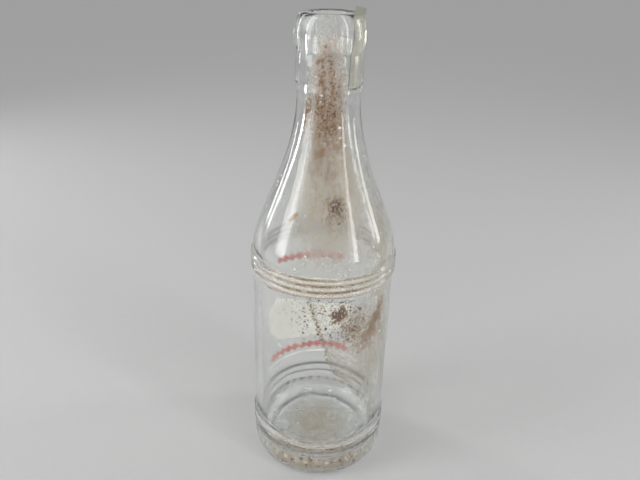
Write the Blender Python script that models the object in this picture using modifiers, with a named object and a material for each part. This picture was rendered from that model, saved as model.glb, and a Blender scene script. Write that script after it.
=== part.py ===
"""A clear glass soda bottle with a crown finish.

The glass is one turned piece. A label in fired enamel is printed on its back, as one white
panel, one thin white rule and two chains of red lozenges. A strip of clear tape is stuck
to the finish at the front right, and its free end stands up past the rim.
Metres, +Z up. The origin is on the floor, on the bottle's axis, and the front faces -Y.
"""
import math

import bmesh
import bpy

# The bottle from floor to rim
bottle_height = 0.1945
body_radius = 0.0295
shoulder_height = 0.1025

# The inside of the glass
wall_thickness = 0.0029
floor_thickness = 0.0056
inner_corner_radius = 0.0066
bore_radius = 0.008

# The base
standing_radius = 0.025
standing_ring_width = 0.0026
push_up_depth = 0.0022
heel_height = 0.0073
heel_proud = 0.0003

# The two bands of ribs
rib_height = 0.0008
shoulder_rib_pitch = 0.0027
shoulder_ribs = 3
base_rib_pitch = 0.004
base_ribs = 2
base_band_height = 0.0212
groove_share = 0.35

# The neck and the crown finish, with heights measured down from the rim
neck_radius = 0.012
neck_drop = 0.0294
collar_radius = 0.01245
collar_drop = 0.0261
collar_top_drop = 0.0164
notch_radius = 0.0122
notch_drop = 0.0131
lip_radius = 0.0133
lip_bulge_drop = 0.0082
rim_radius = 0.0106
mouth_round = 0.0007

# How far each end of a curve keeps its direction, as shares of the curve's own height or width
shoulder_pull_share = 0.21
neck_pull_share = 0.41
lip_top_pull_share = 0.37
lip_side_pull_share = 0.55
lip_under_pull_share = 0.4
lip_under_reach_share = 0.4

# The enamel label: its coat, and its layout as shares of the space between the bands
enamel_thickness = 0.0003
enamel_clearance = 0.0003
label_azimuth = math.radians(196.0)
panel_height_share = 0.42
panel_place_share = 0.44
panel_angle = math.radians(98.0)
rule_height_share = 0.011
rule_place_share = 0.105
rule_angle = math.radians(112.0)
chain_height_share = 0.065
chain_waist_share = 0.2
lozenge_angle = math.radians(8.0)
upper_chain_place_share = 0.85
upper_lozenges = 9
lower_chain_place_share = 0.165
lower_lozenges = 12

# The strip of tape on the finish
tape_width = 0.0078
tape_thickness = 0.0003
tape_clearance = 0.0003
tape_azimuth = math.radians(53.0)
tape_twist = math.radians(7.0)
tape_rise = 0.0023
tape_slant = 0.0014
tape_lift_share = 0.82
tape_lean = math.radians(1.0)

# How finely the curves are divided
turns_around = 60
shoulder_steps = 12
corner_steps = 5
mouth_steps = 2
rib_steps = 4
lip_steps = 5
patch_step = math.radians(5.0)
panel_rows = 8
tape_columns = 4
merge_distance = 0.00001
crease_angle = math.radians(40.0)

# Heights and radii that follow from the sizes above
inner_radius = body_radius - wall_thickness
floor_top = push_up_depth + floor_thickness
heel_radius = body_radius + heel_proud
base_band_bottom = base_band_height - base_ribs * base_rib_pitch
shoulder_band_bottom = shoulder_height - shoulder_ribs * shoulder_rib_pitch
label_space = shoulder_band_bottom - base_band_height
neck_height = bottle_height - neck_drop
bulge_height = bottle_height - lip_bulge_drop
notch_height = bottle_height - notch_drop


def bezier(start, start_pull, end_pull, end, steps):
    """Points of a cubic curve in the (radius, height) plane, without its last point."""
    points = []
    for step in range(steps):
        t = step / steps
        weights = ((1 - t) ** 3, 3 * t * (1 - t) ** 2, 3 * t * t * (1 - t), t ** 3)
        corners = (start, start_pull, end_pull, end)
        radius = sum(w * corner[0] for w, corner in zip(weights, corners))
        height = sum(w * corner[1] for w, corner in zip(weights, corners))
        points.append((radius, height))
    return points


def quarter_round(centre, width, height, first, steps):
    """A quarter of an ellipse, anticlockwise from the angle first, with both of its ends."""
    points = []
    for step in range(steps + 1):
        angle = first + math.pi / 2 * step / steps
        points.append((centre[0] + width * math.cos(angle), centre[1] + height * math.sin(angle)))
    return points


def shoulder_curve(low_radius, high_radius, steps):
    """From the upright body to the upright neck, bottom to top, without its last point."""
    rise = neck_height - shoulder_height
    low_pull = (low_radius, shoulder_height + rise * shoulder_pull_share)
    high_pull = (high_radius, neck_height - rise * neck_pull_share)
    return bezier((low_radius, shoulder_height), low_pull, high_pull,
                  (high_radius, neck_height), steps)


def rib_band(top, count, pitch):
    """Round ribs one under the other, from the band's top edge to just over its bottom."""
    points = []
    for rib in range(count):
        for step in range(rib_steps):
            swell = math.sin(math.pi * step / rib_steps)
            if rib > 0:
                swell = max(swell, groove_share)
            points.append((body_radius + rib_height * swell,
                           top - pitch * (rib + step / rib_steps)))
    return points


def inner_outline():
    """The inside, from the middle of the floor up to the mouth."""
    corner_centre = (inner_radius - inner_corner_radius, floor_top + inner_corner_radius)
    corner = quarter_round(corner_centre, inner_corner_radius, inner_corner_radius,
                           -math.pi / 2, corner_steps)
    mouth_centre = (bore_radius + mouth_round, bottle_height - mouth_round)
    mouth = quarter_round(mouth_centre, mouth_round, mouth_round, math.pi / 2, mouth_steps)
    shoulder = shoulder_curve(inner_radius, bore_radius, shoulder_steps)
    return [(0.0, floor_top)] + corner + shoulder + [(bore_radius, neck_height)] + mouth[::-1]


def lip_outline():
    """The lip, from the rim's outer edge down to the notch under it."""
    bulge = (lip_radius, bulge_height)
    top_pull = (rim_radius + (lip_radius - rim_radius) * lip_top_pull_share, bottle_height)
    side_pull = (lip_radius, bulge_height + lip_bulge_drop * lip_side_pull_share)
    upper = bezier((rim_radius, bottle_height), top_pull, side_pull, bulge, lip_steps)
    drop = bulge_height - notch_height
    under_pull = (lip_radius, bulge_height - drop * lip_under_pull_share)
    notch_pull = (notch_radius + (lip_radius - notch_radius) * lip_under_reach_share,
                  notch_height + drop * lip_under_reach_share)
    lower = bezier(bulge, under_pull, notch_pull, (notch_radius, notch_height), lip_steps)
    return upper + lower


def finish_outline():
    """The crown finish, from the rim down to the foot of its collar."""
    return lip_outline() + [
        (notch_radius, notch_height),
        (collar_radius, bottle_height - collar_top_drop),
        (collar_radius, bottle_height - collar_drop),
    ]


def base_outline():
    """The heel, the standing ring and the hollow under the base, down to the axis."""
    heel = quarter_round((standing_radius, heel_height), heel_radius - standing_radius,
                         heel_height, -math.pi / 2, corner_steps)
    hollow_radius = standing_radius - standing_ring_width
    hollow = quarter_round((0.0, 0.0), hollow_radius, push_up_depth, 0.0, corner_steps)
    return heel[::-1] + hollow


def glass_outline():
    """The whole section: up the inside, over the rim and down the outside."""
    shoulder = shoulder_curve(body_radius, neck_radius, shoulder_steps)
    return (inner_outline()
            + finish_outline()
            + [(neck_radius, neck_height)]
            + shoulder[:0:-1]
            + rib_band(shoulder_height, shoulder_ribs, shoulder_rib_pitch)
            + [(body_radius, shoulder_band_bottom)]
            + rib_band(base_band_height, base_ribs, base_rib_pitch)
            + [(body_radius, base_band_bottom)]
            + base_outline())


def round_the_bottle(radius, azimuth, height):
    """A point at an angle from the front, anticlockwise seen from above."""
    return (radius * math.sin(azimuth), -radius * math.cos(azimuth), height)


def make_material(name, colour, roughness, metallic=0.0, transmission=0.0):
    material = bpy.data.materials.new(name)
    material.use_nodes = True
    shader = material.node_tree.nodes["Principled BSDF"]
    shader.inputs["Base Color"].default_value = colour
    shader.inputs["Roughness"].default_value = roughness
    shader.inputs["Metallic"].default_value = metallic
    shader.inputs["Transmission Weight"].default_value = transmission
    material.diffuse_color = colour
    return material


def add_piece(name, mesh, material, collection):
    piece = bpy.data.objects.new(name, mesh)
    mesh.materials.append(material)
    collection.objects.link(piece)
    return piece


def turned_piece(name, outline, material, collection):
    """A section turned once around the Z axis."""
    mesh = bpy.data.meshes.new(name)
    profile = bmesh.new()
    corners = [profile.verts.new((radius, 0.0, height)) for radius, height in outline]
    for first, second in zip(corners, corners[1:]):
        profile.edges.new((first, second))
    profile.to_mesh(mesh)
    profile.free()
    piece = add_piece(name, mesh, material, collection)
    turn = piece.modifiers.new("turn", "SCREW")
    turn.axis = "Z"
    turn.angle = 2 * math.pi
    turn.steps = turns_around
    turn.render_steps = turns_around
    turn.use_merge_vertices = True
    turn.merge_threshold = merge_distance
    turn.use_smooth_shade = True
    return piece


def bent_sheet(name, columns, rows, place, thickness, material, collection):
    """A thin sheet whose grid, -1 to 1 both ways, is laid by place(across, up)."""
    mesh = bpy.data.meshes.new(name)
    sheet = bmesh.new()
    bmesh.ops.create_grid(sheet, x_segments=columns, y_segments=rows, size=1)
    for vertex in sheet.verts:
        vertex.co = place(vertex.co.x, vertex.co.y)
    sheet.to_mesh(mesh)
    sheet.free()
    mesh.shade_smooth()
    mesh.set_sharp_from_angle(angle=crease_angle)
    piece = add_piece(name, mesh, material, collection)
    coat = piece.modifiers.new("coat", "SOLIDIFY")
    coat.thickness = thickness
    coat.offset = 1
    return piece


def make_glass(collection):
    glass = make_material("clear_glass", (0.93, 0.95, 0.93, 1.0), 0.03, transmission=1.0)
    return turned_piece("glass_bottle", glass_outline(), glass, collection)


def label_point(azimuth, height):
    """A point on the enamel's inner side, just clear of the body."""
    return round_the_bottle(body_radius + enamel_clearance, azimuth, height)


def make_panel(white, collection):
    """The oval panel: a square grid eased into a circle, then stretched and bent."""
    middle = base_band_height + label_space * panel_place_share
    half_height = label_space * panel_height_share / 2

    def place(across, up):
        around = across * math.sqrt(1 - up * up / 2)
        along = up * math.sqrt(1 - across * across / 2)
        return label_point(label_azimuth + panel_angle / 2 * around,
                           middle + half_height * along)

    columns = round(panel_angle / patch_step)
    return bent_sheet("label_panel", columns, panel_rows, place, enamel_thickness,
                      white, collection)


def make_rule(white, collection):
    """The thin line under the rest of the label."""
    middle = base_band_height + label_space * rule_place_share
    half_height = label_space * rule_height_share / 2

    def place(across, up):
        return label_point(label_azimuth + rule_angle / 2 * across, middle + half_height * up)

    columns = round(rule_angle / patch_step)
    return bent_sheet("label_rule", columns, 1, place, enamel_thickness, white, collection)


def make_chain(name, place_share, lozenges, red, collection):
    """A row of lozenges joined at narrow waists."""
    middle = base_band_height + label_space * place_share
    half_height = label_space * chain_height_share / 2
    half_angle = lozenges * lozenge_angle / 2

    def place(across, up):
        along = (across + 1) / 2 * lozenges
        bulge = 1 - abs(2 * (along - math.floor(along)) - 1)
        swell = chain_waist_share + (1 - chain_waist_share) * bulge
        return label_point(label_azimuth + half_angle * across, middle + half_height * swell * up)

    return bent_sheet(name, 2 * lozenges, 1, place, enamel_thickness, red, collection)


def tape_path():
    """The tape's inner side from the collar's foot up to its free end, as radius and height."""
    lift_height = bulge_height + lip_bulge_drop * tape_lift_share
    stuck = [point for point in finish_outline()[::-1] if point[1] <= lift_height]
    path = []
    for index, (radius, height) in enumerate(stuck):
        before = stuck[max(index - 1, 0)]
        after = stuck[min(index + 1, len(stuck) - 1)]
        along = (after[0] - before[0], after[1] - before[1])
        length = math.hypot(*along)
        path.append((radius + tape_clearance * along[1] / length,
                     height - tape_clearance * along[0] / length))
    free_height = bottle_height + tape_rise
    free_length = free_height - path[-1][1]
    path.append((path[-1][0] + free_length * math.tan(tape_lean), free_height))
    return path


def make_tape(tape, collection):
    """The strip of tape, with its free end cut on a slant."""
    path = tape_path()
    rows = len(path) - 1
    half_angle = tape_width / 2 / lip_radius

    def place(across, up):
        row = round((up + 1) / 2 * rows)
        radius, height = path[row]
        if row == rows:
            height -= tape_slant / 2 * across
        azimuth = tape_azimuth + tape_twist / 2 * up + half_angle * across
        return round_the_bottle(radius, azimuth, height)

    return bent_sheet("lip_tape", tape_columns, rows, place, tape_thickness, tape, collection)


def build_bottle():
    for old in list(bpy.data.objects):
        bpy.data.objects.remove(old, do_unlink=True)
    collection = bpy.data.collections.new("soda_bottle")
    bpy.context.scene.collection.children.link(collection)
    white = make_material("white_enamel", (0.80, 0.77, 0.72, 1.0), 0.35)
    red = make_material("red_enamel", (0.52, 0.08, 0.06, 1.0), 0.35)
    tape = make_material("clear_tape", (0.55, 0.53, 0.42, 1.0), 0.4, transmission=0.5)
    make_glass(collection)
    make_panel(white, collection)
    make_rule(white, collection)
    make_chain("label_chain_upper", upper_chain_place_share, upper_lozenges, red, collection)
    make_chain("label_chain_lower", lower_chain_place_share, lower_lozenges, red, collection)
    make_tape(tape, collection)


build_bottle()
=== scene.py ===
# %% [markdown]
# # A clear glass soda bottle
#
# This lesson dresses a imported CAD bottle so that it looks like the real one: old, clear glass with
# dried dirt inside, a fired enamel label on its back, and a strip of yellowed tape at its mouth.
# The frame comes first. It gives the sizes that every piece has to keep to, in metres, with +Z up,
# the front at -Y and the origin under the middle of the bottle.

# %% Load the frame
import math
import random

import bmesh
import bpy
from mathutils import Matrix, Vector, noise


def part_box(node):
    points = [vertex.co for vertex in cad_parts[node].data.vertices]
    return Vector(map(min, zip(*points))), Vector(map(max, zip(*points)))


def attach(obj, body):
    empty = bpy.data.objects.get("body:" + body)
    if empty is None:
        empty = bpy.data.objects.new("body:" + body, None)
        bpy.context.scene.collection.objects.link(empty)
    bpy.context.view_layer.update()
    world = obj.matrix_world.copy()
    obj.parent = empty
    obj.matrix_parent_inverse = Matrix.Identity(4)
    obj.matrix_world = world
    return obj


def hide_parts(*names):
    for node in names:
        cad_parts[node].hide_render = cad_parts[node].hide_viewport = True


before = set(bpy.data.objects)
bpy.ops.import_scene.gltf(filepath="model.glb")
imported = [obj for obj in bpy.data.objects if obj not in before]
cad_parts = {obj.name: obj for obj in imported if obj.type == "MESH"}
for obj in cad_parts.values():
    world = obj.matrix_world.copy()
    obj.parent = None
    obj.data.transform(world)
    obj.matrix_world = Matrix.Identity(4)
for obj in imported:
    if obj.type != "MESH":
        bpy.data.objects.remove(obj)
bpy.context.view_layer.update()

# %% [markdown]
# ## The camera
#
# The photograph was taken from close by, looking down on the bottle. A lens and a place for the
# camera were fitted to the outline of the bottle, and they are written here as a photographer
# would note them: the distance from the axis, the height of the lens and the tilt.

# %% Set up the camera
camera_distance = 0.2260
camera_height = 0.2162
tilt_down = math.radians(26.24)
turn_left = math.radians(0.52)
roll_left = math.radians(1.73)

camera_data = bpy.data.cameras.new("photo_camera")
camera_data.sensor_width = 36.0
camera_data.lens = 34.0
camera_data.shift_x = 0.0019
camera_data.shift_y = 0.0002
camera_data.clip_start = 0.01
camera_data.clip_end = 50.0
camera = bpy.data.objects.new("photo_camera", camera_data)
camera.matrix_world = (
    Matrix.Translation((0.0, -camera_distance, camera_height))
    @ Matrix.Rotation(turn_left, 4, "Z")
    @ Matrix.Rotation(math.pi / 2 - tilt_down, 4, "X")
    @ Matrix.Rotation(roll_left, 4, "Z")
)
bpy.context.scene.collection.objects.link(camera)
bpy.context.scene.camera = camera
bpy.context.scene.view_settings.view_transform = "Standard"
print("camera stands", round(1000 * camera_distance), "mm in front, looking down",
      round(math.degrees(tilt_down)), "degrees")

# %% [markdown]
# ## Joining nodes
#
# A finish is a small network of nodes. These helpers join them in one line each, so that a pattern
# can be read as a sentence. A number is written on the socket itself, and anything else is linked.

# %% Node helpers
def feed(tree, socket, value):
    """Writes a number or colour on a socket, or links another socket to it."""
    if isinstance(value, bpy.types.NodeSocket):
        tree.links.new(value, socket)
    else:
        socket.default_value = value


def maths(tree, operation, *values):
    """One Math node."""
    node = tree.nodes.new("ShaderNodeMath")
    node.operation = operation
    for socket, value in zip(node.inputs, values):
        feed(tree, socket, value)
    return node.outputs[0]


def total(tree, *values):
    """The sum of several values."""
    result = values[0]
    for value in values[1:]:
        result = maths(tree, "ADD", result, value)
    return result


def product(tree, *values):
    """The product of several values."""
    result = values[0]
    for value in values[1:]:
        result = maths(tree, "MULTIPLY", result, value)
    return result


def strongest(tree, *values):
    """The largest of several values."""
    result = values[0]
    for value in values[1:]:
        result = maths(tree, "MAXIMUM", result, value)
    return result


def rescale(tree, value, low, high):
    """Turns a value from 0 to 1 into one from low to high."""
    return maths(tree, "MULTIPLY_ADD", value, high - low, low)


def fade(tree, value, start, end):
    """Rises softly from 0 where value is start to 1 where it is end."""
    node = tree.nodes.new("ShaderNodeMapRange")
    node.interpolation_type = "SMOOTHSTEP"
    feed(tree, node.inputs["Value"], value)
    node.inputs["From Min"].default_value = start
    node.inputs["From Max"].default_value = end
    return node.outputs["Result"]


def cloud(tree, place, size, detail=3.0, roughness=0.55, stretch=(1.0, 1.0, 1.0)):
    """Soft noise from 0 to 1 whose lumps are about size metres across."""
    mapping = tree.nodes.new("ShaderNodeMapping")
    feed(tree, mapping.inputs["Vector"], place)
    mapping.inputs["Scale"].default_value = [1.0 / (size * side) for side in stretch]
    texture = tree.nodes.new("ShaderNodeTexNoise")
    feed(tree, texture.inputs["Vector"], mapping.outputs["Vector"])
    texture.inputs["Scale"].default_value = 1.0
    texture.inputs["Detail"].default_value = detail
    texture.inputs["Roughness"].default_value = roughness
    return texture.outputs["Fac"]


def specks(tree, place, spacing, largest):
    """Dots of random size, one in each cell of about spacing metres. largest is a share of a cell."""
    mapping = tree.nodes.new("ShaderNodeMapping")
    feed(tree, mapping.inputs["Vector"], place)
    mapping.inputs["Scale"].default_value = [1.0 / spacing] * 3
    cells = tree.nodes.new("ShaderNodeTexVoronoi")
    feed(tree, cells.inputs["Vector"], mapping.outputs["Vector"])
    cells.inputs["Scale"].default_value = 1.0
    chance = tree.nodes.new("ShaderNodeSeparateColor")
    feed(tree, chance.inputs["Color"], cells.outputs["Color"])
    reach = product(tree, chance.outputs["Red"], chance.outputs["Red"],
                    chance.outputs["Red"], largest)
    return fade(tree, maths(tree, "SUBTRACT", cells.outputs["Distance"], reach), 0.05, -0.05)


def mix_colour(tree, share, first, second):
    """The first colour where share is 0, the second where it is 1."""
    node = tree.nodes.new("ShaderNodeMix")
    node.data_type = "RGBA"
    feed(tree, node.inputs["Factor"], share)
    feed(tree, node.inputs["A"], first)
    feed(tree, node.inputs["B"], second)
    return node.outputs["Result"]


def grey(shade):
    """A grey, as a colour that a socket takes."""
    return (shade, shade, shade, 1.0)


def new_material(name):
    """A node material with one Principled shader. Returns the material, its tree and shader."""
    material = bpy.data.materials.new(name)
    material.use_nodes = True
    return material, material.node_tree, material.node_tree.nodes["Principled BSDF"]


def object_place(tree):
    """Object coordinates, which here are metres in the frame."""
    return tree.nodes.new("ShaderNodeTexCoord").outputs["Object"]


def bump(tree, height, depth):
    """A bump whose height of 0 to 1 stands for depth metres."""
    node = tree.nodes.new("ShaderNodeBump")
    node.inputs["Distance"].default_value = depth
    feed(tree, node.inputs["Height"], height)
    return node.outputs["Normal"]


# %% [markdown]
# ## The floor and the light
#
# Clear glass has almost no colour of its own, so it shows what stands around it. It could be lit
# by one lamp, but then its outline would be lost. Here the studio is a pale floor, a sky that is
# bright overhead and dim halfway up, and four upright softboxes that draw long highlights down the
# glass, as in the photograph. A lamp's power follows from how bright its face looks.
#
# The label is on the far side, so light has to come in through the front. A bright wall behind the
# camera gives it. The wall is in the world, and it is hidden from the camera and from rays that
# pass straight through the glass, because otherwise it would glow in the bottle when seen from the
# back. Its edges are written as shares of a ray's direction. Cycles also blurs sharp light paths
# after a bounce, to save time, and that leaves what is behind glass too dark. So the blur is set to
# nothing.

# %% Lay the floor
floor_shade = 0.42
floor_mottle = 0.02
floor_reach = 7.0
floor_mesh = bpy.data.meshes.new("studio_floor")
floor_shape = bmesh.new()
bmesh.ops.create_circle(floor_shape, cap_ends=True, segments=96, radius=floor_reach)
floor_shape.to_mesh(floor_mesh)
floor_shape.free()
floor = bpy.data.objects.new("studio_floor", floor_mesh)
bpy.context.scene.collection.objects.link(floor)

floor_paint, tree, shader = new_material("matt_floor")
feed(tree, shader.inputs["Base Color"], mix_colour(
    tree, cloud(tree, object_place(tree), 0.004),
    grey(floor_shade * (1.0 - floor_mottle)), grey(floor_shade * (1.0 + floor_mottle))))
shader.inputs["Roughness"].default_value = 0.9
floor_mesh.materials.append(floor_paint)
print("floor reaches", floor_reach, "m")

# %% Paint the sky and the front wall
sky_steps = ((0.0, 0.43), (0.22, 0.42), (0.45, 0.32), (0.75, 0.55), (1.0, 0.72))
front_wall_shade = 2.2

world = bpy.data.worlds.new("studio")
world.use_nodes = True
bpy.context.scene.world = world
tree = world.node_tree
direction = tree.nodes.new("ShaderNodeTexCoord").outputs["Generated"]
axes = tree.nodes.new("ShaderNodeSeparateXYZ")
feed(tree, axes.inputs[0], direction)
sky = tree.nodes.new("ShaderNodeValToRGB")
feed(tree, sky.inputs["Fac"], axes.outputs["Z"])
while len(sky.color_ramp.elements) < len(sky_steps):
    sky.color_ramp.elements.new(0.5)
# A stop that moves can change places with its neighbour, so the colours wait for a second loop.
for stop, (height, _) in zip(sky.color_ramp.elements, sky_steps):
    stop.position = height
for stop, (_, shade) in zip(sky.color_ramp.elements, sky_steps):
    stop.color = grey(shade)
front_wall = product(tree, fade(tree, axes.outputs["Y"], -0.15, -0.45),
                     fade(tree, axes.outputs["Z"], 0.02, 0.12),
                     fade(tree, axes.outputs["Z"], 0.72, 0.54))
light_path = tree.nodes.new("ShaderNodeLightPath")
unscattered = fade(tree, light_path.outputs["Diffuse Depth"], 0.9, 0.1)
mirrored_or_let_through = strongest(tree, light_path.outputs["Is Glossy Ray"],
                                    light_path.outputs["Is Transmission Ray"])
seen = strongest(tree, light_path.outputs["Is Camera Ray"],
                 product(tree, unscattered, mirrored_or_let_through))
front_light = product(tree, front_wall, maths(tree, "SUBTRACT", 1.0, seen))
feed(tree, tree.nodes["Background"].inputs["Color"], mix_colour(
    tree, front_light, sky.outputs["Color"], grey(front_wall_shade)))
bpy.context.scene.cycles.blur_glossy = 0.0
print("sky has", len(sky_steps), "steps from the horizon to the top")

# %% Stand up the softboxes
softbox_distance = 0.6
aim_height = 0.12


def softbox(name, azimuth, width, height, middle, brightness):
    """An upright softbox, azimuth degrees round from the front, that faces the bottle."""
    lamp = bpy.data.lights.new(name, "AREA")
    lamp.shape = "RECTANGLE"
    lamp.size = width
    lamp.size_y = height
    lamp.energy = brightness * math.pi * width * height
    stand = bpy.data.objects.new(name, lamp)
    turn = math.radians(azimuth)
    place = Vector((softbox_distance * math.sin(turn), -softbox_distance * math.cos(turn), middle))
    aim = Vector((0.0, 0.0, aim_height)) - place
    stand.matrix_world = Matrix.Translation(place) @ aim.to_track_quat("-Z", "Y").to_matrix().to_4x4()
    bpy.context.scene.collection.objects.link(stand)
    print(name, "gives", round(lamp.energy, 2), "W")


softbox("left_softbox", azimuth=-70.0, width=0.22, height=0.7, middle=0.38, brightness=4.5)
softbox("left_rim_light", azimuth=-121.0, width=0.07, height=0.7, middle=0.38, brightness=7.0)
softbox("right_softbox", azimuth=52.0, width=0.07, height=0.6, middle=0.36, brightness=7.0)
softbox("right_rim_light", azimuth=100.0, width=0.09, height=0.6, middle=0.36, brightness=6.0)

# %% [markdown]
# ## The glass bottle
#
# The real bottle was blown in a mould, so its outside is crisp and its inside is a little wavy. It
# is one piece of glass from rim to base. It could be lathed from a curve with a Screw modifier, but
# a spun bmesh lets single points be moved afterwards, for the wavy inner wall, the faint seams of
# the mould and the row of beads on the heel. First come the sizes, the same as in the CAD.

# %% Sizes of the glass
glass_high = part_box("glass_bottle")[1]
bottle_height = glass_high.z
rib_radius = glass_high.x
rib_height = 0.0008
body_radius = rib_radius - rib_height
wall = 0.0029
inner_radius = body_radius - wall
inner_corner = 0.0066
floor_top = 0.0078
bore_radius = 0.008
standing_radius = 0.025
standing_width = 0.0026
push_up = 0.0022
heel_height = 0.0073
heel_radius = body_radius + 0.0003
shoulder_height = 0.1025
shoulder_ribs = 3
shoulder_rib_pitch = 0.0027
shoulder_band_bottom = shoulder_height - shoulder_ribs * shoulder_rib_pitch
base_band_top = 0.0212
base_ribs = 2
base_rib_pitch = 0.0040
base_band_bottom = base_band_top - base_ribs * base_rib_pitch
neck_radius = 0.012
neck_height = bottle_height - 0.0294
print("glass is", round(1000 * bottle_height, 1), "mm high,", round(2000 * body_radius, 1), "mm wide")

# %% [markdown]
# The section of the glass is a line of points, each a radius and a height. Curves are cubic, as a
# draughtsman's French curve is, and rounds are quarters of an ellipse.

# %% Curves for the section
def curve(start, start_pull, end_pull, end, steps):
    """Points on a cubic curve, without its last point."""
    points = []
    for step in range(steps):
        t = step / steps
        weights = ((1 - t) ** 3, 3 * t * (1 - t) ** 2, 3 * t * t * (1 - t), t ** 3)
        corners = (start, start_pull, end_pull, end)
        points.append(tuple(
            sum(weight * corner[axis] for weight, corner in zip(weights, corners))
            for axis in (0, 1)))
    return points


def quarter(middle, width, height, first, steps):
    """A quarter of an ellipse, anticlockwise from the angle first, with both ends."""
    return [(middle[0] + width * math.cos(first + math.pi / 2 * step / steps),
             middle[1] + height * math.sin(first + math.pi / 2 * step / steps))
            for step in range(steps + 1)]


def straight(start, end, steps):
    """Even points on a straight line, without its last point."""
    return [(start[0] + (end[0] - start[0]) * step / steps,
             start[1] + (end[1] - start[1]) * step / steps) for step in range(steps)]


shoulder_low_pull = 0.21
shoulder_high_pull = 0.41


def shoulder(low_radius, high_radius, steps):
    """From the upright body up to the upright neck. The pulls are shares of its rise."""
    rise = neck_height - shoulder_height
    return curve((low_radius, shoulder_height),
                 (low_radius, shoulder_height + rise * shoulder_low_pull),
                 (high_radius, neck_height - rise * shoulder_high_pull),
                 (high_radius, neck_height), steps)


rib_fullness = 0.8
valley_share = 0.35


def ribs(top, count, pitch, steps):
    """Round ribs one under the other, with valleys that don't reach down to the body."""
    points = []
    for rib in range(count):
        for step in range(steps):
            swell = math.sin(math.pi * step / steps) ** rib_fullness
            if rib > 0:
                swell = max(swell, valley_share)
            points.append((body_radius + rib_height * swell, top - pitch * (rib + step / steps)))
    return points


# %% Draw the inside of the section
rim_round = 0.0007
flat_floor = inner_radius - inner_corner

inside = straight((0.0, floor_top), (flat_floor, floor_top), steps=14)
inside += quarter((flat_floor, floor_top + inner_corner), inner_corner, inner_corner,
                  first=-math.pi / 2, steps=10)
inside += straight(inside[-1], (inner_radius, shoulder_height), steps=26)[1:]
inside += shoulder(inner_radius, bore_radius, steps=44)
inside += straight((bore_radius, neck_height), (bore_radius, bottle_height - rim_round), steps=10)
inside += quarter((bore_radius + rim_round, bottle_height - rim_round), rim_round, rim_round,
                  first=math.pi / 2, steps=4)[::-1]
print("inside has", len(inside), "points")

# %% Draw the outside of the section
rim_radius = 0.0106
rim_pull = 0.0010
lip_radius = 0.0133
lip_pull_up = 0.0045
lip_pull_down = 0.0020
bulge_height = bottle_height - 0.0082
notch_radius = 0.0122
notch_flare = 0.00044
notch_ease = 0.00002
notch_pull = 0.0020
notch_height = bottle_height - 0.0131
collar_radius = 0.01245
collar_round = 0.0006
collar_pull = 0.0010
collar_top = bottle_height - 0.0164
collar_foot = bottle_height - 0.0261

outside = curve((rim_radius, bottle_height), (rim_radius + rim_pull, bottle_height),
                (lip_radius, bulge_height + lip_pull_up), (lip_radius, bulge_height), steps=12)
outside += curve((lip_radius, bulge_height), (lip_radius, bulge_height - lip_pull_down),
                 (notch_radius + notch_flare, notch_height + notch_pull),
                 (notch_radius, notch_height), steps=10)
outside += curve((notch_radius, notch_height), (notch_radius + notch_ease, notch_height - collar_pull),
                 (collar_radius, collar_top + collar_pull), (collar_radius, collar_top), steps=4)
outside += straight((collar_radius, collar_top), (collar_radius, collar_foot + collar_round), steps=5)
outside += curve((collar_radius, collar_foot + collar_round), (collar_radius, collar_foot),
                 (neck_radius, collar_foot), (neck_radius, collar_foot - collar_pull), steps=5)
outside += straight((neck_radius, collar_foot - collar_pull), (neck_radius, neck_height), steps=3)
outside += [(neck_radius, neck_height)] + shoulder(body_radius, neck_radius, steps=48)[:0:-1]
outside += ribs(shoulder_height, shoulder_ribs, shoulder_rib_pitch, steps=10)
outside += straight((body_radius, shoulder_band_bottom), (body_radius, base_band_top), steps=22)
outside += ribs(base_band_top, base_ribs, base_rib_pitch, steps=12)
outside += straight((body_radius, base_band_bottom), (heel_radius, heel_height), steps=8)
outside += quarter((standing_radius, heel_height), heel_radius - standing_radius, heel_height,
                   first=-math.pi / 2, steps=12)[::-1]
outside += quarter((0.0, 0.0), standing_radius - standing_width, push_up, first=0.0, steps=12)
print("outside has", len(outside), "points")

# %% [markdown]
# The section is spun once round Z. A layer on the points remembers which wall they came from,
# because dirt sits on the inside and wear on the outside. Afterwards the inner wall is moved by
# soft noise of about a tenth of a millimetre, which bends what is seen through the glass.

# %% Spin the glass
segments = 320
merge_distance = 1e-6
spin_shape = bmesh.new()
wall_layer = spin_shape.verts.layers.float.new("inner_wall")
section = []
for index, (radius, height) in enumerate(inside + outside):
    point = spin_shape.verts.new((0.0, -radius, height))
    point[wall_layer] = 1.0 if index < len(inside) else 0.0
    section.append(point)
for first, second in zip(section, section[1:]):
    spin_shape.edges.new((first, second))
bmesh.ops.spin(spin_shape, geom=spin_shape.verts[:] + spin_shape.edges[:], cent=(0.0, 0.0, 0.0),
               axis=(0.0, 0.0, 1.0), angle=2 * math.pi, steps=segments, use_merge=True,
               use_duplicate=False)
bmesh.ops.remove_doubles(spin_shape, verts=spin_shape.verts, dist=merge_distance)
bmesh.ops.recalc_face_normals(spin_shape, faces=spin_shape.faces)
print("glass has", len(spin_shape.faces), "faces and",
      sum(1 for edge in spin_shape.edges if len(edge.link_faces) != 2), "open edges")

# %% Make the inner wall wavy
wave_depth = 0.00016
wave_length = 0.035
wave_swell = 1.3
draw_depth = 0.00003
draw_length = 0.06
draw_count = 3
calm_height = 0.001
calm_rim = 0.003
wave_start = 0.012
floor_wave_depth = 0.0003
floor_wave_swell = 70.0


def polar(point):
    """A point's radius, its angle from the front and its height."""
    return math.hypot(point.co.x, point.co.y), math.atan2(point.co.x, -point.co.y), point.co.z


def moved_out(point, amount):
    """Moves a point away from the axis."""
    out = Vector((point.co.x, point.co.y, 0.0))
    if out.length > merge_distance:
        point.co += out.normalized() * amount


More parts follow.
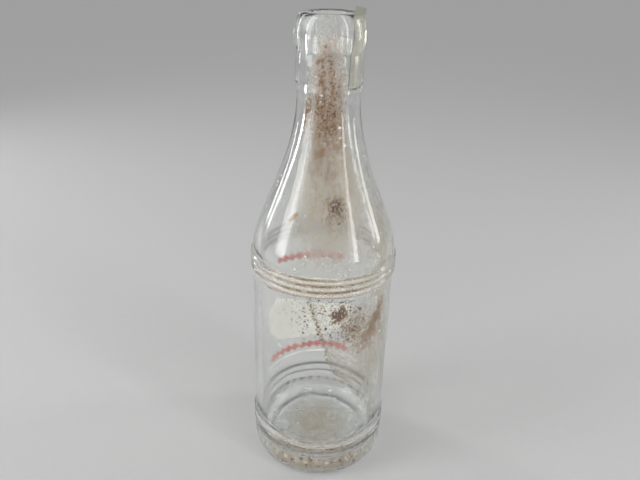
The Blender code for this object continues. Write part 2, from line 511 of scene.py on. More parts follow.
for point in spin_shape.verts:
    if point[wall_layer] < 0.5:
        continue
    radius, angle, height = polar(point)
    if radius > bore_radius * 0.9 and floor_top + calm_height < height < bottle_height - calm_rim:
        to_side, to_back = math.sin(angle), math.cos(angle)
        waves = noise.noise(Vector((to_side, to_back, height / wave_length)) * wave_swell)
        draws = noise.noise(Vector((draw_count * to_side, draw_count * to_back, height / draw_length)))
        share = min(1.0, (height - floor_top) / wave_start)
        moved_out(point, share * (wave_depth * waves * radius / inner_radius + draw_depth * draws))
    elif radius < flat_floor and height < floor_top + calm_height:
        share = 1.0 - radius / flat_floor
        point.co.z += floor_wave_depth * share * noise.noise(point.co * floor_wave_swell)
print("inner wall waves by up to", round(1000 * (wave_depth + draw_depth), 2), "mm")

# %% Raise the seams and the beads
seam_height = 0.00008
seam_half_width = 0.0007
bead_count = 40
bead_height = 0.00042
bead_middle = 0.0098
bead_half = 0.0019

for point in spin_shape.verts:
    if point[wall_layer] > 0.5:
        continue
    radius, angle, height = polar(point)
    if base_band_bottom < height < notch_height and radius < body_radius + 0.0001:
        from_seam = abs(abs(angle) - math.pi / 2) * radius
        moved_out(point, seam_height * max(0.0, 1.0 - from_seam / seam_half_width))
    if radius > standing_radius and abs(height - bead_middle) < bead_half:
        around = math.cos(angle * bead_count / 2) ** 2
        upright = math.cos((height - bead_middle) / bead_half * math.pi / 2)
        moved_out(point, bead_height * around ** 0.8 * upright ** 0.7)
print("heel has", bead_count, "beads")

# %% Make the glass a piece
glass_mesh = bpy.data.meshes.new("bottle_glass")
spin_shape.to_mesh(glass_mesh)
spin_shape.free()
glass_mesh.shade_smooth()
bottle_glass = bpy.data.objects.new("bottle_glass", glass_mesh)
bpy.context.scene.collection.objects.link(bottle_glass)
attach(bottle_glass, "root")
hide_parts("glass_bottle")
print("glass is", 2 * len(glass_mesh.polygons), "triangles")

# %% [markdown]
# ## Dirt in the glass
#
# Years of damp left a milky film on the inner wall, brown dirt in the neck, a rusty smear on the
# right and a tide line where the last of the drink dried. These stains could be painted on an
# image. Here each is a patch at an angle and a height on the bottle, ragged by noise, because such
# a pattern stays sharp at any size. Dirt that dried in grains is a soft patch cut by fine noise, and
# loose specks are Voronoi cells with a dot of random size in each. Angles are in degrees from the
# front, to the right when positive, and heights are in millimetres.

# %% Where on the glass a point lies
glass_finish, tree, shader = new_material("stained_glass")
millimetres = 1000.0
place = object_place(tree)
axes = tree.nodes.new("ShaderNodeSeparateXYZ")
feed(tree, axes.inputs[0], place)
to_front = maths(tree, "MULTIPLY", axes.outputs["Y"], -1.0)
angle_round = maths(tree, "MULTIPLY", maths(tree, "ARCTAN2", axes.outputs["X"], to_front),
                    math.degrees(1.0))
height_up = maths(tree, "MULTIPLY", axes.outputs["Z"], millimetres)
radius_out = maths(tree, "MULTIPLY", millimetres, maths(tree, "SQRT", total(
    tree, product(tree, axes.outputs["X"], axes.outputs["X"]),
    product(tree, axes.outputs["Y"], axes.outputs["Y"]))))
wall_node = tree.nodes.new("ShaderNodeAttribute")
wall_node.attribute_name = "inner_wall"
on_inner_wall = wall_node.outputs["Fac"]
on_outer_wall = maths(tree, "SUBTRACT", 1.0, on_inner_wall)
print("place on the glass takes", len(tree.nodes), "nodes")

# %% Noise and specks for the dirt
coarse = cloud(tree, place, 0.009, detail=4.0)
grain = cloud(tree, place, 0.0034, detail=7.0, roughness=0.72)
fine = cloud(tree, place, 0.0008, detail=6.0, roughness=0.7, stretch=(1.0, 1.0, 1.4))
streaks = cloud(tree, place, 0.0013, detail=5.0, roughness=0.65, stretch=(1.0, 1.0, 9.0))
small_dots = specks(tree, place, 0.0010, largest=0.55)
large_dots = specks(tree, place, 0.0021, largest=0.40)
tiny_dots = specks(tree, place, 0.0006, largest=0.60)
dots = strongest(tree, small_dots, large_dots)
print("glass finish starts with", len(tree.nodes), "nodes")

# %% Lay one stain over another
cover = 0.0
haze = 0.0
colour = (0.99, 0.995, 0.99, 1.0)


def stain(mask, tint, opacity, frost):
    """Tints the glass where mask is 1, and makes it that opaque and that frosted there."""
    global cover, haze, colour
    cover = maths(tree, "MAXIMUM", cover, maths(tree, "MULTIPLY", mask, opacity))
    haze = maths(tree, "MAXIMUM", haze, maths(tree, "MULTIPLY", mask, frost))
    colour = mix_colour(tree, mask, colour, tint)


def patch(angle, height, half_angle, half_height, lean=0.0, ragged=1.3, low=0.1, high=0.6):
    """A patch that breaks up at its edge. lean turns it, in degrees for each mm up.

    It is 0 where its strength is low and 1 where it is high, and ragged says how much noise joins in.
    """
    up = maths(tree, "SUBTRACT", height_up, height)
    around = total(tree, angle_round, -angle, product(tree, up, -lean))
    across = maths(tree, "DIVIDE", around, half_angle)
    along = maths(tree, "DIVIDE", up, half_height)
    far = maths(tree, "SQRT", total(tree, product(tree, across, across),
                                    product(tree, along, along)))
    near = maths(tree, "SUBTRACT", 1.0, far)
    strength = maths(tree, "MULTIPLY_ADD", maths(tree, "SUBTRACT", grain, 0.5), ragged, near)
    return fade(tree, strength, low, high)


def grainy(mask, share=0.16):
    """Breaks a mask into grains, dense where it is strong and loose at its edge."""
    grains = fade(tree, maths(tree, "MULTIPLY_ADD", mask, share, fine), 0.57, 0.65)
    return product(tree, grains, fade(tree, mask, 0.0, 0.2))


def inside_band(low, high, soft):
    """1 between two heights in millimetres, with soft ends."""
    return product(tree, fade(tree, height_up, low - soft, low + soft),
                   fade(tree, height_up, high + soft, high - soft))


# %% Colours of the dirt, of painted glints and of a painted sky reflection
# White for the milky film and for dust specks. In the white dots of the body it is also a painted
# glint of small bubbles.
white_dust_and_glint = (0.96, 0.96, 0.94, 1.0)
# A pale blue-grey for the inner floor: partly milky sediment, partly a painted reflection of the sky.
milk_and_sky_sheen_grey = (0.80, 0.82, 0.83, 1.0)
film_brown = (0.42, 0.32, 0.19, 1.0)
film_olive = (0.40, 0.34, 0.21, 1.0)
tide_brown = (0.36, 0.25, 0.13, 1.0)
dirt_brown = (0.28, 0.15, 0.065, 1.0)
dirt_dark = (0.085, 0.042, 0.018, 1.0)
fleck_tan = (0.36, 0.21, 0.085, 1.0)
rust_orange = (0.34, 0.13, 0.024, 1.0)
rust_brown = (0.12, 0.042, 0.008, 1.0)
rust_dark = (0.085, 0.030, 0.007, 1.0)
grime_brown = (0.17, 0.115, 0.06, 1.0)
dust_beige = (0.48, 0.43, 0.32, 1.0)
heel_brown = (0.14, 0.105, 0.06, 1.0)

# %% Films on the inner wall
milky = product(tree, on_inner_wall, total(
    tree, 0.15, product(tree, fade(tree, coarse, 0.3, 0.75), 0.3),
    product(tree, inside_band(104.0, 150.0, soft=6.0), fade(tree, streaks, 0.3, 0.7), 0.55)))
stain(milky, white_dust_and_glint, opacity=0.12, frost=0.12)
right_film = product(tree, on_inner_wall, inside_band(26.0, 146.0, soft=20.0),
                     fade(tree, angle_round, 18.0, 62.0), fade(tree, angle_round, 130.0, 66.0),
                     rescale(tree, fade(tree, streaks, 0.3, 0.7), 0.3, 1.0),
                     rescale(tree, fade(tree, coarse, 0.3, 0.65), 0.45, 1.0))
stain(right_film, film_olive, opacity=0.85, frost=0.22)
neck_haze = product(tree, on_inner_wall,
                    patch(angle=6.0, height=138.0, half_angle=66.0, half_height=46.0,
                          ragged=0.5, low=0.0, high=0.7),
                    total(tree, 0.45, product(tree, fade(tree, streaks, 0.25, 0.75), 0.4),
                          product(tree, fade(tree, fine, 0.25, 0.75), 0.15)))
stain(neck_haze, film_brown, opacity=0.78, frost=0.35)
print("upper films are laid with", len(tree.nodes), "nodes")

# %% The tide line and the film beside it
tide_angle = 10.9
tide_turn_height = 58.1
tide_slope = 0.69
tide_low_slope = 1.6

tide_rise = maths(tree, "SUBTRACT", height_up, tide_turn_height)
tide = total(tree, angle_round, product(tree, tide_rise, tide_slope),
             product(tree, maths(tree, "MINIMUM", tide_rise, 0.0), tide_low_slope),
             -tide_angle, product(tree, maths(tree, "SUBTRACT", coarse, 0.5), 9.0),
             product(tree, maths(tree, "SUBTRACT", grain, 0.5), 6.0))
label_space = product(tree, fade(tree, height_up, 40.0, 54.0), fade(tree, height_up, 95.0, 91.0),
                      fade(tree, angle_round, 100.0, 60.0))
film = product(tree, on_inner_wall, label_space, fade(tree, tide, -1.5, 5.0),
               rescale(tree, fade(tree, fine, 0.35, 0.7), 0.2, 0.7),
               rescale(tree, fade(tree, height_up, 80.0, 66.0), 0.5, 1.0))
stain(film, film_brown, opacity=0.55, frost=0.2)
tide_line = product(tree, on_inner_wall, label_space, fade(tree, tide, -1.0, 1.0),
                    fade(tree, tide, 7.0, 0.6), fade(tree, fine, 0.36, 0.6))
stain(tide_line, tide_brown, opacity=0.5, frost=0.08)
# The inner floor gets a pale blue-grey film: partly milky sediment, partly a painted reflection of the
# sky that lightens the floor where the bottle shades it.
floor_milk_and_sky_sheen = product(tree, on_inner_wall, fade(tree, height_up, 12.0, 8.2),
                     rescale(tree, fade(tree, coarse, 0.3, 0.7), 0.6, 1.0))
stain(floor_milk_and_sky_sheen, milk_and_sky_sheen_grey, opacity=0.34, frost=0.3)
floor_film = product(tree, on_inner_wall, fade(tree, height_up, 10.0, 8.2),
                     fade(tree, radius_out, 21.0, 4.0),
                     total(tree, product(tree, fade(tree, grain, 0.3, 0.6), 0.5),
                           product(tree, fade(tree, fine, 0.3, 0.6), 0.4)))
stain(floor_film, film_brown, opacity=0.55, frost=0.3)
print("lower films are laid with", len(tree.nodes), "nodes")

# %% Dirt in the neck and on the shoulder
neck_dirt = product(tree, on_inner_wall,
                    patch(angle=-2.0, height=165.0, half_angle=60.0, half_height=36.0,
                          low=0.0, high=0.7),
                    total(tree, 0.35, product(tree, fade(tree, streaks, 0.3, 0.65), 0.35),
                          product(tree, fade(tree, fine, 0.3, 0.65), 0.45)))
stain(neck_dirt, dirt_brown, opacity=0.9, frost=0.5)
neck_grit = product(tree, on_inner_wall,
                    patch(angle=0.0, height=165.0, half_angle=46.0, half_height=18.0,
                          low=0.0, high=0.5),
                    strongest(tree, fade(tree, fine, 0.57, 0.67), strongest(
                        tree, tiny_dots, product(tree, small_dots, fade(tree, grain, 0.44, 0.6)))))
stain(neck_grit, dirt_dark, opacity=0.95, frost=0.5)
side_specks = product(tree, on_inner_wall, grainy(
    patch(angle=-51.0, height=160.0, half_angle=14.0, half_height=9.0, low=0.0)))
stain(side_specks, dirt_brown, opacity=0.9, frost=0.5)
shoulder_spot = product(tree, on_inner_wall, grainy(
    patch(angle=12.0, height=127.0, half_angle=21.0, half_height=11.0,
          ragged=0.9, low=0.0, high=1.1), share=0.15))
stain(shoulder_spot, dirt_brown, opacity=0.9, frost=0.3)
spot_core = product(tree, on_inner_wall,
                    patch(angle=14.0, height=127.0, half_angle=9.0, half_height=4.5,
                          ragged=0.9, low=0.0, high=0.5),
                    strongest(tree, fade(tree, fine, 0.42, 0.56), tiny_dots))
stain(spot_core, rust_dark, opacity=0.97, frost=0.1)
fleck = product(tree, on_inner_wall,
                patch(angle=-33.0, height=122.5, half_angle=3.4, half_height=2.4,
                      lean=2.0, ragged=0.8, low=0.0, high=0.4))
stain(fleck, fleck_tan, opacity=0.95, frost=0.2)
print("upper dirt is laid with", len(tree.nodes), "nodes")

# %% Rust and crust in the body
smear = product(tree, on_inner_wall, strongest(
    tree,
    patch(angle=53.0, height=79.5, half_angle=14.0, half_height=12.0,
          lean=1.0, ragged=2.2, low=0.0, high=0.9),
    patch(angle=44.0, height=73.5, half_angle=18.0, half_height=11.0,
          lean=0.8, ragged=2.2, low=0.0, high=0.9)),
    rescale(tree, fade(tree, fine, 0.42, 0.58), 0.4, 1.0))
stain(smear, rust_orange, opacity=0.97, frost=0.1)
smear_core = product(tree, on_inner_wall,
                     patch(angle=49.5, height=78.5, half_angle=9.0, half_height=11.5,
                           lean=1.0, ragged=2.4, low=0.0, high=0.9),
                     rescale(tree, fade(tree, fine, 0.42, 0.56), 0.35, 1.0))
stain(smear_core, rust_brown, opacity=0.97, frost=0.1)
murk = product(tree, on_inner_wall,
               patch(angle=31.0, height=79.0, half_angle=26.0, half_height=15.0,
                     ragged=0.8, low=0.0, high=0.9),
               rescale(tree, fade(tree, fine, 0.3, 0.65), 0.4, 1.0))
stain(murk, film_brown, opacity=0.5, frost=0.3)
crust_edge = product(tree, on_inner_wall, grainy(
    patch(angle=15.5, height=85.5, half_angle=12.0, half_height=7.0,
          ragged=1.1, low=0.0, high=0.9)))
stain(crust_edge, rust_orange, opacity=0.95, frost=0.15)
crust_stain = product(tree, on_inner_wall,
                      patch(angle=15.0, height=86.0, half_angle=8.0, half_height=5.0,
                            ragged=1.1, low=0.0, high=0.6),
                      fade(tree, fine, 0.36, 0.54))
stain(crust_stain, rust_dark, opacity=0.97, frost=0.1)
crust_trail = product(tree, on_inner_wall, grainy(
    patch(angle=25.0, height=79.0, half_angle=17.0, half_height=13.0,
          lean=-1.0, ragged=1.0, low=0.0, high=1.2), share=0.13))
stain(crust_trail, dirt_brown, opacity=0.95, frost=0.15)
grit = product(tree, on_inner_wall,
               strongest(tree, dots, product(tree, tiny_dots, fade(tree, grain, 0.46, 0.58))),
               patch(angle=6.0, height=84.0, half_angle=36.0, half_height=15.0,
                     ragged=2.2, low=0.0, high=0.4))
stain(grit, dirt_dark, opacity=0.95, frost=0.3)
# White dots in the body: partly dust specks, partly painted glints that stand for small bubbles in the
# glass.
dust_and_bubble_glints = product(tree, large_dots, fade(tree, coarse, 0.56, 0.60), inside_band(16.0, 170.0, soft=4.0),
                on_inner_wall)
stain(dust_and_bubble_glints, white_dust_and_glint, opacity=0.8, frost=0.4)
print("dirt is laid with", len(tree.nodes), "nodes")

# %% Wear and grime on the outer wall
band_groove = 30.15
band_depth = 29.8
in_front = product(tree, fade(tree, angle_round, -75.0, -20.0), fade(tree, angle_round, 75.0, 20.0))
on_base_band = inside_band(13.2, 21.4, soft=0.4)
in_bands = strongest(tree, inside_band(94.4, 102.8, soft=0.4), on_base_band)
dusty = product(tree, on_outer_wall,
                strongest(tree, inside_band(94.2, 103.0, soft=0.6), product(
                    tree, strongest(tree, on_base_band, inside_band(2.0, 12.4, soft=1.5)), 0.4)),
                rescale(tree, in_front, 0.4, 1.0),
                rescale(tree, fade(tree, fine, 0.35, 0.65), 0.4, 1.0))
stain(dusty, dust_beige, opacity=0.6, frost=0.3)
grooves = product(tree, on_outer_wall, in_bands, fade(tree, radius_out, band_groove, band_depth),
                  rescale(tree, in_front, 0.1, 1.0),
                  fade(tree, grain, 0.34, 0.52), fade(tree, fine, 0.3, 0.5))
stain(grooves, grime_brown, opacity=0.92, frost=0.5)
heel_film = product(tree, on_outer_wall, inside_band(5.0, 12.6, soft=1.4),
                    rescale(tree, in_front, 0.25, 1.0),
                    total(tree, 0.45, product(tree, fade(tree, fine, 0.38, 0.6), 0.35),
                          product(tree, fade(tree, grain, 0.35, 0.6), 0.2)))
stain(heel_film, heel_brown, opacity=0.92, frost=0.3)
heel_specks = product(tree, on_outer_wall, inside_band(3.0, 20.0, soft=1.0), in_front, dots)
stain(heel_specks, dirt_dark, opacity=0.9, frost=0.2)
beads_turn = maths(tree, "MULTIPLY", angle_round, math.radians(1.0) * bead_count / 2)
on_beads = fade(tree, maths(tree, "ABSOLUTE", maths(tree, "COSINE", beads_turn)), 0.6, 0.95)
bead_dust = product(tree, on_outer_wall, inside_band(8.4, 11.4, soft=0.8), on_beads,
                    fade(tree, fine, 0.44, 0.58))
stain(bead_dust, dust_beige, opacity=0.6, frost=0.3)
print("glass finish has", len(tree.nodes), "nodes")

# %% [markdown]
# A thin film tints and blurs the light that passes, and thick dirt stops it. So each stain changes
# three things: the colour, how much light is let through, and the roughness. Inside the glass a
# weak grey-green tint grows with the distance that light travels, which is why thick glass looks
# green at its edges. That is a volume, not a surface colour.

# %% Finish the glass shader
clean_roughness = 0.012
cover_rise = 0.05
streak_rise = 0.12
dirt_thickness = 0.00012

feed(tree, shader.inputs["Base Color"], colour)
feed(tree, shader.inputs["Transmission Weight"], maths(tree, "SUBTRACT", 1.0, cover))
feed(tree, shader.inputs["Roughness"], maths(tree, "ADD", haze, clean_roughness))
shader.inputs["IOR"].default_value = 1.5
feed(tree, shader.inputs["Normal"], bump(tree, total(
    tree, product(tree, cover, cover_rise), product(tree, streaks, streak_rise)), dirt_thickness))
absorb = tree.nodes.new("ShaderNodeVolumeAbsorption")
absorb.inputs["Color"].default_value = (0.86, 0.92, 0.87, 1.0)
absorb.inputs["Density"].default_value = 22.0
tree.links.new(absorb.outputs[0], tree.nodes["Material Output"].inputs["Volume"])
glass_mesh.materials.append(glass_finish)
print("glass finish is done")

# %% [markdown]
# ## The printed label
#
# The label is coloured enamel, printed through a screen and fired until it melts on to the glass.
# It could be a texture on the bottle, but then it would have no edge and no coat of its own. So each
# print is a thin sheet, bent round the body. It lies a twentieth of a millimetre off the glass: in
# the renderer, a coat that touches the glass gets too little light from inside the bottle.

# %% Bend a sheet round the body
label_angle = math.radians(196.0)
space = shoulder_band_bottom - base_band_top
coat_gap = 0.00005
coat_inside = body_radius + coat_gap
coat_thickness = 0.00025
crease_angle = math.radians(40.0)


def round_bottle(radius, angle, height):
    """A place on the bottle at an angle from the front."""
    return Vector((radius * math.sin(angle), -radius * math.cos(angle), height))


def sheet(name, columns, rows, lay, thickness, finish, replaced=None):
    """A thin sheet whose grid of -1 to 1 is laid by lay(across, up), then thickened outwards."""
    mesh = bpy.data.meshes.new(name)
    grid = bmesh.new()
    bmesh.ops.create_grid(grid, x_segments=columns, y_segments=rows, size=1)
    for point in grid.verts:
        point.co = lay(point.co.x, point.co.y)
    bmesh.ops.recalc_face_normals(grid, faces=grid.faces)
    outward = 0.0
    for face in grid.faces:
        middle = face.calc_center_median()
        outward += face.normal.dot(Vector((middle.x, middle.y, 0.0)))
    if outward < 0:
        bmesh.ops.reverse_faces(grid, faces=grid.faces)
    grid.to_mesh(mesh)
    grid.free()
    mesh.shade_smooth()
    mesh.set_sharp_from_angle(angle=crease_angle)
    mesh.materials.append(finish)
    piece = bpy.data.objects.new(name, mesh)
    bpy.context.scene.collection.objects.link(piece)
    coat = piece.modifiers.new("coat", "SOLIDIFY")
    coat.thickness = thickness
    coat.offset = 1
    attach(piece, "root")
    if replaced:
        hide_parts(replaced)
    print(name, "has", len(mesh.polygons), "faces before its coat")


# %% Enamel finishes
def enamel(name, colour, faded, worn, gloss):
    """Fired enamel: mottled, a little faded, with small brown stains."""
    finish, tree, shader = new_material(name)
    place = object_place(tree)
    mottled = mix_colour(tree, fade(tree, cloud(tree, place, 0.006), 0.35, 0.7), colour, faded)
    stained = product(tree, fade(tree, cloud(tree, place, 0.0011, detail=5.0), 0.6, 0.7),
                      fade(tree, cloud(tree, place, 0.008), 0.45, 0.65), 0.8)
    feed(tree, shader.inputs["Base Color"], mix_colour(tree, stained, mottled, worn))
    feed(tree, shader.inputs["Roughness"], maths(
        tree, "MULTIPLY_ADD", cloud(tree, place, 0.0015), 0.25, gloss))
    feed(tree, shader.inputs["Normal"], bump(tree, cloud(tree, place, 0.0007), 0.00003))
    return finish


white_enamel = enamel("white_enamel_print", (0.92, 0.905, 0.88, 1.0), (0.86, 0.84, 0.81, 1.0),
                      (0.45, 0.33, 0.24, 1.0), 0.25)
red_enamel = enamel("red_enamel_print", (0.52, 0.10, 0.09, 1.0), (0.60, 0.20, 0.17, 1.0),
                    (0.30, 0.10, 0.07, 1.0), 0.25)
print("enamel is mixed")

# %% [markdown]
# The white panel is a plain oval. A square grid is eased into a circle and stretched, so it has no
# pole in its middle. A thin red line and a short row of lozenges lie on it, as a plain ornament of
# the size and colours that such labels have.

# %% Print the white panel
panel_middle_share = 0.44
panel_height_share = 0.42
panel_middle = base_band_top + space * panel_middle_share
panel_half_height = space * panel_height_share / 2
panel_half_angle = math.radians(98.0) / 2


def on_panel(across, up):
    """A place on the oval, from -1 to 1 across and up."""
    around = across * math.sqrt(1 - up * up / 2)
    along = up * math.sqrt(1 - across * across / 2)
    return round_bottle(coat_inside, label_angle + panel_half_angle * around,
                        panel_middle + panel_half_height * along)


sheet("panel_print", 60, 40, on_panel, coat_thickness, white_enamel,
      replaced="label_panel")

# %% Print the panel's red trim
trim_radius = coat_inside + coat_thickness
trim_coat = 0.00008
trim_reach = 0.86
trim_half_width = 0.018
lozenge_half_angle = math.radians(5.0)
lozenge_half_height = 0.0055
lozenge_row = ((-22.0, 0.7), (-11.5, 0.85), (0.0, 1.0), (11.5, 0.85), (22.0, 0.7))


def on_trim_line(across, up):
    """A thin oval line inside the panel's edge. across runs once round it."""
    turn = math.pi * across
    reach = trim_reach + trim_half_width * up
    return round_bottle(trim_radius, label_angle + panel_half_angle * reach * math.sin(turn),
                        panel_middle + panel_half_height * reach * math.cos(turn))


def trim_lozenge(name, angle, size):
    """One red lozenge on the panel, at angle degrees from its middle."""
    def lay(across, up):
        around = (across + up) / 2
        along = (up - across) / 2
        return round_bottle(
            trim_radius, label_angle + math.radians(angle) + lozenge_half_angle * size * around,
            panel_middle + lozenge_half_height * size * along)

    sheet(name, 6, 6, lay, trim_coat, red_enamel)


sheet("panel_trim_line", 120, 1, on_trim_line, trim_coat, red_enamel)
for number, (angle, size) in enumerate(lozenge_row, start=1):
    trim_lozenge(f"panel_lozenge_{number}", angle, size)

# %% Print the thin white line
rule_middle_share = 0.105
rule_height_share = 0.011
rule_middle = base_band_top + space * rule_middle_share
rule_half_height = space * rule_height_share / 2
rule_half_angle = math.radians(112.0) / 2


def on_rule(across, up):
    """A place on the line, from -1 to 1 across and up."""
    return round_bottle(coat_inside, label_angle + rule_half_angle * across,
                        rule_middle + rule_half_height * up)


sheet("rule_print", 90, 2, on_rule, coat_thickness, white_enamel,
      replaced="label_rule")

# %% [markdown]
# The red print above and below the panel is a chain of lozenges joined at narrow waists. The chain
# keeps to the CAD's layout, with eight columns to each lozenge so that its sides are straight.

# %% Print the red chains
chain_height_share = 0.065
chain_waist = 0.2
chain_lozenge_angle = math.radians(8.0)
columns_a_lozenge = 8


def chain(name, middle_share, lozenges, replaced):
    """A row of joined lozenges, as one sheet."""
    middle = base_band_top + space * middle_share
    half_height = space * chain_height_share / 2
    half_angle = lozenges * chain_lozenge_angle / 2

    def lay(across, up):
        along = (across + 1) / 2 * lozenges
        bulge = 1 - abs(2 * (along - math.floor(along)) - 1)
        swell = chain_waist + (1 - chain_waist) * bulge
        return round_bottle(coat_inside, label_angle + half_angle * across,
                            middle + half_height * swell * up)

    sheet(name, columns_a_lozenge * lozenges, 4, lay, coat_thickness, red_enamel,
          replaced=replaced)


chain("chain_upper_print", middle_share=0.85, lozenges=9, replaced="label_chain_upper")
chain("chain_lower_print", middle_share=0.165, lozenges=12, replaced="label_chain_lower")

# %% [markdown]
# ## The strip of tape
#
# A strip of clear tape was once stuck over the mouth, and one end is left: yellowed, wrinkled and
# standing up past the rim. It could be a flat strip, but real tape follows each hollow of the
# finish. So it takes its path from the section of the glass, and then leaves it in a straight line.

# %% Find the tape's path
tape_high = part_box("lip_tape")[1].z
tape_angle = math.radians(53.0)
tape_twist = math.radians(7.0)
tape_width = 0.0078
tape_half_angle = tape_width / 2 / lip_radius
tape_gap = 0.00006
tape_start = collar_foot + 0.0005
tape_hold_share = 0.82
tape_lift = bulge_height + (bottle_height - bulge_height) * tape_hold_share
tape_rise = 0.0023
free_lean = math.radians(1.0)
free_steps = 12

stuck = [point for point in outside[::-1] if tape_start < point[1] <= tape_lift]
tape_path = []
for index, (radius, height) in enumerate(stuck):
    before = stuck[max(index - 1, 0)]
    after = stuck[min(index + 1, len(stuck) - 1)]
    along = (after[0] - before[0], after[1] - before[1])
    length = math.hypot(*along)
    tape_path.append((radius + tape_gap * along[1] / length,
                      height - tape_gap * along[0] / length))
free_radius, free_height = tape_path[-1]
free_rise = bottle_height + tape_rise - free_height
for step in range(1, free_steps + 1):
    rise = free_rise * step / free_steps
    tape_path.append((free_radius + rise * math.tan(free_lean), free_height + rise))
print("tape has", len(tape_path), "rows and ends", round(1000 * tape_path[-1][1], 1), "mm high")

# %% Yellowed tape finish
tape_finish, tree, shader = new_material("yellowed_tape")
place = object_place(tree)
blotches = fade(tree, cloud(tree, place, 0.0022, detail=5.0), 0.35, 0.68)
grime = product(tree, fade(tree, cloud(tree, place, 0.0011, detail=5.0), 0.56, 0.7), 0.6)
axes = tree.nodes.new("ShaderNodeSeparateXYZ")
feed(tree, axes.inputs[0], place)
standing = fade(tree, axes.outputs["Z"], tape_lift - 0.001, bottle_height)
low_end = fade(tree, axes.outputs["Z"], collar_foot + 0.006, collar_foot)
clear_yellow = (0.90, 0.89, 0.82, 1.0)
old_yellow = (0.74, 0.70, 0.58, 1.0)
stub_olive = (0.25, 0.255, 0.21, 1.0)
tape_grime = (0.34, 0.27, 0.16, 1.0)
clear_film = mix_colour(tree, maths(tree, "MAXIMUM", product(tree, blotches, 0.7),
                                    product(tree, low_end, 0.6)), clear_yellow, old_yellow)
film_colour = mix_colour(tree, standing, clear_film, stub_olive)
feed(tree, shader.inputs["Base Color"], mix_colour(tree, grime, film_colour, tape_grime))
feed(tree, shader.inputs["Transmission Weight"], maths(
    tree, "SUBTRACT", 0.98, maths(tree, "MAXIMUM", product(tree, standing, 0.82), maths(
        tree, "MAXIMUM", product(tree, blotches, 0.08), product(tree, low_end, blotches, 0.25)))))
feed(tree, shader.inputs["Roughness"], total(
    tree, 0.03, product(tree, cloud(tree, place, 0.001), 0.08), product(tree, standing, 0.3)))
shader.inputs["IOR"].default_value = 1.46
shader.inputs["Specular IOR Level"].default_value = 0.25
feed(tree, shader.inputs["Normal"], bump(
    tree, cloud(tree, place, 0.0009, stretch=(1.0, 1.0, 0.5)), 0.00006))
print("tape finish has", len(tree.nodes), "nodes")

# %% Lay the tape
tape_coat = 0.00012
tape_torn = 0.0013
tape_slant = 0.0014
tape_cut = 0.0002
tape_curl = 0.0003
tape_wrinkle = 0.00012
tape_ragged_share = 0.10


def ripple(across, along, seed):
    """Noise from 0 up, the same at each run."""
    return abs(noise.noise(Vector((across, along, seed))))


def on_tape(across, up):
    """Follows the path, with small wrinkles, ragged sides and a torn lower end."""
    row = round((up + 1) / 2 * (len(tape_path) - 1))
    radius, height = tape_path[row]
    if row == 0:
        height += tape_torn * ripple(across * 3.5, 0.4, seed=11.0)
    free = max(0.0, (height - tape_lift) / (tape_high - tape_lift))
    ragged = 1.0 - tape_ragged_share * ripple(across * 0.5, height / 0.0025, seed=3.0)
    wrinkle = tape_wrinkle * ripple(across * 2.2, height / 0.0016, seed=8.0)
    angle = tape_angle + tape_twist / 2 * up + tape_half_angle * across * ragged
    height -= (tape_slant / 2 * across + tape_cut * ripple(across * 3.0, 0.0, seed=5.0)) * free
    return round_bottle(radius + wrinkle + tape_curl * free * across * across, angle, height)


sheet("tape_strip", 20, len(tape_path) - 1, on_tape, tape_coat, tape_finish,
      replaced="lip_tape")

# %% [markdown]
# ## Crust and grit
#
# The dirt isn't only colour. Small grains and flakes stand on the inner wall, and they cast tiny
# shadows. Each grain is a low icosphere, pressed flat against the wall and turned at random from a
# fixed seed, so that every run gives the same bottle. All of them are one piece.

# %% Find the inner wall at any height
inner_line = sorted((height, radius) for radius, height in inside if radius > bore_radius * 0.99)


def inner_wall_at(height):
    """The inner radius at a height, between the section's points."""
    for (low, low_radius), (high, high_radius) in zip(inner_line, inner_line[1:]):
        if low <= height <= high:
            share = (height - low) / max(high - low, 1e-9)
            return low_radius + (high_radius - low_radius) * share
    return bore_radius


print("inner wall at half height is", round(1000 * inner_wall_at(bottle_height / 2), 1),
      "mm from the axis")

# %% Mix the grit's finish
grit_finish, tree, shader = new_material("dried_grit")
place = object_place(tree)
feed(tree, shader.inputs["Base Color"], mix_colour(
    tree, fade(tree, cloud(tree, place, 0.0012), 0.35, 0.65),
    (0.07, 0.035, 0.018, 1.0), (0.27, 0.14, 0.065, 1.0)))
shader.inputs["Roughness"].default_value = 0.85
feed(tree, shader.inputs["Normal"], bump(tree, cloud(tree, place, 0.0003), 0.00008))
print("grit finish has", len(tree.nodes), "nodes")

# %% Scatter the grit
draw = random.Random(7)
grit_shape = bmesh.new()
grain_flatness = 0.4
grain_sunk_share = 0.15
small_bias = 2.2
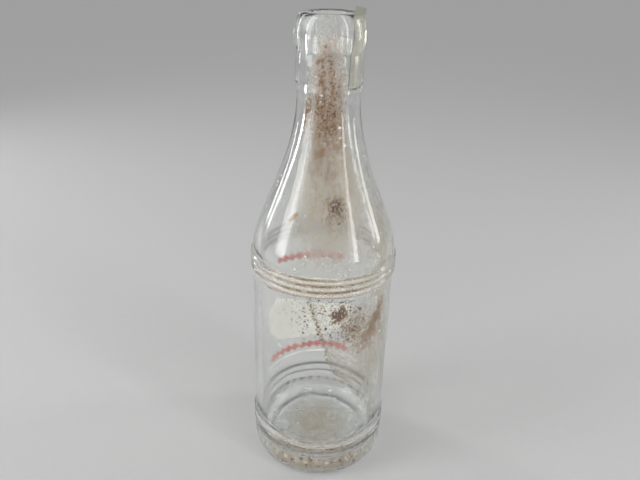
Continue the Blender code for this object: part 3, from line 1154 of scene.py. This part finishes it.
# Each place has its number of grains, its angle and height, how far they spread in degrees and in
# millimetres, the smallest and the largest radius in metres, and the lean in degrees for each mm up.
grit_places = (
    (90, -3.0, 166.0, 18.0, 7.0, 0.00009, 0.00028, 0.0),
    (40, 2.0, 150.0, 18.0, 9.0, 0.00008, 0.00020, 0.0),
    (46, 14.0, 127.0, 5.0, 2.2, 0.00012, 0.00060, 0.0),
    (30, 15.0, 86.0, 2.4, 1.8, 0.00014, 0.00075, 0.0),
    (34, 24.0, 79.5, 3.5, 3.0, 0.00010, 0.00040, -1.3),
    (80, 1.0, 87.0, 10.0, 4.5, 0.00011, 0.00042, 0.0),
    (40, 51.0, 77.0, 3.0, 6.5, 0.00009, 0.00034, 1.0),
    (4, -33.0, 122.5, 1.2, 0.8, 0.00025, 0.00045, 0.0),
    (14, -51.0, 160.0, 3.5, 2.6, 0.00012, 0.00040, 0.0),
)


def add_grain(radius, angle, height, size):
    """One grain on a wall, pressed flat towards it."""
    made = bmesh.ops.create_icosphere(grit_shape, subdivisions=1, radius=1.0)["verts"]
    spin = Matrix.Rotation(draw.uniform(0.0, math.pi), 4, "Y")
    shape = Matrix.Diagonal((size * draw.uniform(0.7, 1.3), size * grain_flatness,
                             size * draw.uniform(0.7, 1.3), 1.0))
    turn = Matrix.Rotation(angle, 4, "Z")
    move = Matrix.Translation(round_bottle(radius, angle, height))
    bmesh.ops.transform(grit_shape, matrix=move @ turn @ spin @ shape, verts=made)


def scatter(count, angle, height, spread_angle, spread_height, small, large, lean):
    """Grains round one place."""
    for _ in range(count):
        up = draw.gauss(0.0, spread_height)
        around = angle + draw.gauss(0.0, spread_angle) + lean * up
        at_height = (height + up) / millimetres
        size = small * (large / small) ** (draw.random() ** small_bias)
        add_grain(inner_wall_at(at_height) - size * grain_sunk_share, math.radians(around),
                  at_height, size)


for grit_place in grit_places:
    scatter(*grit_place)

grit_mesh = bpy.data.meshes.new("dried_grit")
grit_shape.to_mesh(grit_mesh)
grit_shape.free()
grit_mesh.shade_smooth()
grit_mesh.materials.append(grit_finish)
dried_grit = bpy.data.objects.new("dried_grit", grit_mesh)
bpy.context.scene.collection.objects.link(dried_grit)
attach(dried_grit, "root")
print("grit has", len(grit_mesh.polygons), "triangles")
